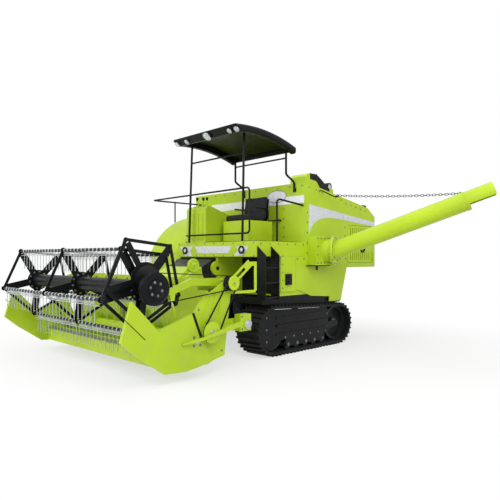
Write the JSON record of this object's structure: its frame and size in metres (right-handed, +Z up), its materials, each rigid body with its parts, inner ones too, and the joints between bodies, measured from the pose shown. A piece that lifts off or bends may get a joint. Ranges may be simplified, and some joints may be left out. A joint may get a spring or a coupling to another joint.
{
  "type": "tracked combine harvester",
  "caption": "Lime-green tracked combine harvester: open platform with canopy, black bat reel and cutter header in front, grain tank, and an unloading auger out to its left.",
  "frame": {"origin": "on the ground under the middle of the whole outline, unloading auger and reel included", "axes": "+Z up, -Y forward in the driving direction, +X to the machine's left side"},
  "size_m": [6.036, 6.1378, 3.6388],
  "materials": {
    "lime_paint": "semi-gloss",
    "black_paint": "semi-gloss",
    "rubber": "matte",
    "bare_steel": "satin",
    "grey_iron": "satin",
    "seat_vinyl": "satin",
    "lamp_glass": "clear",
    "dark_engine": "satin",
    "chrome": "polished"
  },
  "bodies": {
    "chassis": {"chassis_frame": "black_paint", "left_track": "rubber", "right_track": "rubber", "left_track_frame": "black_paint", "right_track_frame": "black_paint", "left_track_wheels": "grey_iron", "right_track_wheels": "grey_iron", "thresher_body": "lime_paint", "side_panels": "lime_paint", "grain_tank": "lime_paint", "engine_hood": "lime_paint", "engine_block": "dark_engine", "elevator_head": "lime_paint", "platform": "lime_paint", "lamps": "lamp_glass", "ladder": "black_paint", "hand_rails": "black_paint", "console": "lime_paint", "seat_box": "lime_paint", "seat": "seat_vinyl", "canopy_frame": "black_paint", "canopy": "black_paint", "front_cover": "lime_paint", "unloader_elbow": "lime_paint", "chain_stay": "black_paint"},
    "engine_door": {"engine_door": "lime_paint"},
    "unloader": {"unloader_tube": "lime_paint", "unloader_chain": "bare_steel"},
    "header": {"feeder_house": "lime_paint", "header_trough": "lime_paint", "left_divider": "lime_paint", "right_divider": "lime_paint", "cutter_bar": "bare_steel", "reel_foot_pins": "grey_iron", "header_idler": "lime_paint", "jackshaft": "grey_iron", "drive_frame": "lime_paint", "drive_guard": "lime_paint", "lower_belt": "rubber", "knife_drive": "lime_paint"},
    "header_auger": {"header_auger": "lime_paint"},
    "reel_arms": {"reel_arms": "lime_paint", "reel_belt": "rubber"},
    "reel": {"reel_core": "black_paint", "reel_pulley": "black_paint"},
    "reel_bat_1": {"reel_bat_1": "black_paint"},
    "reel_bat_2": {"reel_bat_2": "black_paint"},
    "reel_bat_3": {"reel_bat_3": "black_paint"},
    "reel_bat_4": {"reel_bat_4": "black_paint"},
    "reel_bat_5": {"reel_bat_5": "black_paint"},
    "reel_control": {"reel_control": "black_paint"},
    "lift_barrels": {"lift_barrels": "black_paint"},
    "lift_rods": {"lift_rods": "chrome"},
    "reel_barrels": {"reel_barrels": "lime_paint"},
    "reel_rods": {"reel_rods": "chrome"}
  },
  "joints": [
    {"name": "header_lift", "type": "hinge", "parent": "chassis", "child": "header", "pos_m": [-1.16799, -0.32606, 1.4], "axis": [-1, 0, 0], "range_deg": [-3.5, 16]},
    {"name": "reel_lift", "type": "hinge", "parent": "header", "child": "reel_arms", "pos_m": [-1.16799, -1.26106, 1.236], "axis": [-1, 0, 0], "range_deg": [0, 20]},
    {"name": "reel_spin", "type": "hinge", "parent": "reel_arms", "child": "reel", "pos_m": [-1.16799, -2.48806, 1.205], "axis": [-1, 0, 0], "continuous": true},
    {"name": "header_auger_spin", "type": "hinge", "parent": "header", "child": "header_auger", "pos_m": [-1.16799, -1.82606, 0.5], "axis": [-1, 0, 0], "continuous": true},
    {"name": "unloader_swing", "type": "hinge", "parent": "chassis", "child": "unloader", "pos_m": [0.51387, 1.51686, 1.7], "axis": [0, 0, 1], "range_deg": [0, 66]},
    {"name": "engine_door_hinge", "type": "hinge", "parent": "chassis", "child": "engine_door", "pos_m": [0.34601, 2.97794, 1.84], "axis": [0, 0, -1], "range_deg": [-100, 0]},
    {"name": "reel_bat_1_turn", "type": "hinge", "parent": "reel", "child": "reel_bat_1", "pos_m": [-1.16799, -3.03094, 1.08961], "axis": [-1, 0, 0], "continuous": true},
    {"name": "reel_bat_2_turn", "type": "hinge", "parent": "reel", "child": "reel_bat_2", "pos_m": [-1.16799, -2.76556, 1.68564], "axis": [-1, 0, 0], "continuous": true},
    {"name": "reel_bat_3_turn", "type": "hinge", "parent": "reel", "child": "reel_bat_3", "pos_m": [-1.16799, -2.1167, 1.61745], "axis": [-1, 0, 0], "continuous": true},
    {"name": "reel_bat_4_turn", "type": "hinge", "parent": "reel", "child": "reel_bat_4", "pos_m": [-1.16799, -1.98105, 0.97926], "axis": [-1, 0, 0], "continuous": true},
    {"name": "reel_bat_5_turn", "type": "hinge", "parent": "reel", "child": "reel_bat_5", "pos_m": [-1.16799, -2.54608, 0.65304], "axis": [-1, 0, 0], "continuous": true},
    {"name": "reel_control_turn", "type": "hinge", "parent": "reel_arms", "child": "reel_control", "pos_m": [-1.16799, -2.45806, 1.32], "axis": [-1, 0, 0], "continuous": true},
    {"name": "lift_barrel_tilt", "type": "hinge", "parent": "chassis", "child": "lift_barrels", "pos_m": [-1.16799, 0.04394, 0.64], "axis": [-1, 0, 0], "range_deg": [-2.3, 10.1]},
    {"name": "lift_rod_slide", "type": "slide", "parent": "lift_barrels", "child": "lift_rods", "axis": [0, -1, 0], "range_m": [-0.0466, 0.2061]},
    {"name": "reel_barrel_tilt", "type": "hinge", "parent": "header", "child": "reel_barrels", "pos_m": [-1.16799, -1.99606, 0.59], "axis": [-1, 0, 0], "range_deg": [0, 5.1]},
    {"name": "reel_rod_slide", "type": "slide", "parent": "reel_barrels", "child": "reel_rods", "axis": [0, -0.2747, 0.9615], "range_m": [0, 0.3064]}
  ],
  "couplings": [
    {"joint": "reel_bat_1_turn", "follows": "reel_spin", "ratio": -1},
    {"joint": "reel_bat_2_turn", "follows": "reel_spin", "ratio": -1},
    {"joint": "reel_bat_3_turn", "follows": "reel_spin", "ratio": -1},
    {"joint": "reel_bat_4_turn", "follows": "reel_spin", "ratio": -1},
    {"joint": "reel_bat_5_turn", "follows": "reel_spin", "ratio": -1},
    {"joint": "reel_control_turn", "follows": "reel_spin", "ratio": 1},
    {"joint": "lift_barrel_tilt", "follows": "header_lift", "ratio": 0.61936},
    {"joint": "lift_rod_slide", "follows": "header_lift", "m_per_rad": 0.73073},
    {"joint": "reel_barrel_tilt", "follows": "reel_lift", "ratio": 0.24937},
    {"joint": "reel_rod_slide", "follows": "reel_lift", "m_per_rad": 0.87199}
  ]
}
